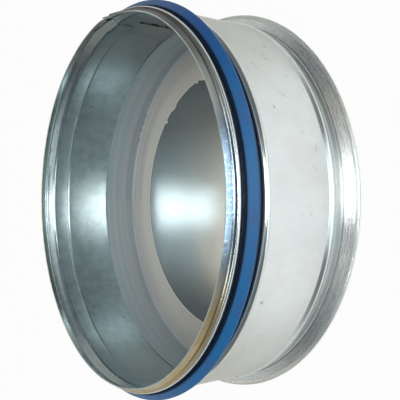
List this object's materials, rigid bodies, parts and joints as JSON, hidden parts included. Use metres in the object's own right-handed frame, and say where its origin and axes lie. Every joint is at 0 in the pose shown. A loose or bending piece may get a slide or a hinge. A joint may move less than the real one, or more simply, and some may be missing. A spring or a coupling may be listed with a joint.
{
  "type": "duct end cap",
  "caption": "Round duct end cap: a short sheet-metal collar with a rubber lip seal, rolled beads and a stop flange, closed by a spun lid.",
  "frame": {"origin": "centre of the closed end's outer face, on the surface that the cap stands on", "axes": "+Z along the cap's axis, from the closed end towards the open mouth; the collar's lap seam is on the +Y side"},
  "size_m": [0.2112, 0.2112, 0.07],
  "materials": {
    "collar_zinc": "hot-dip galvanised sheet, satin with small spangle and handling marks",
    "lid_zinc": "spun galvanised sheet, smooth in the middle and finely grooved outside it",
    "seal_rubber": "blue rubber with a soft sheen"
  },
  "bodies": {
    "root": {"collar": "collar_zinc", "end_lid": "lid_zinc", "seal_ring": "seal_rubber"}
  },
  "joints": []
}
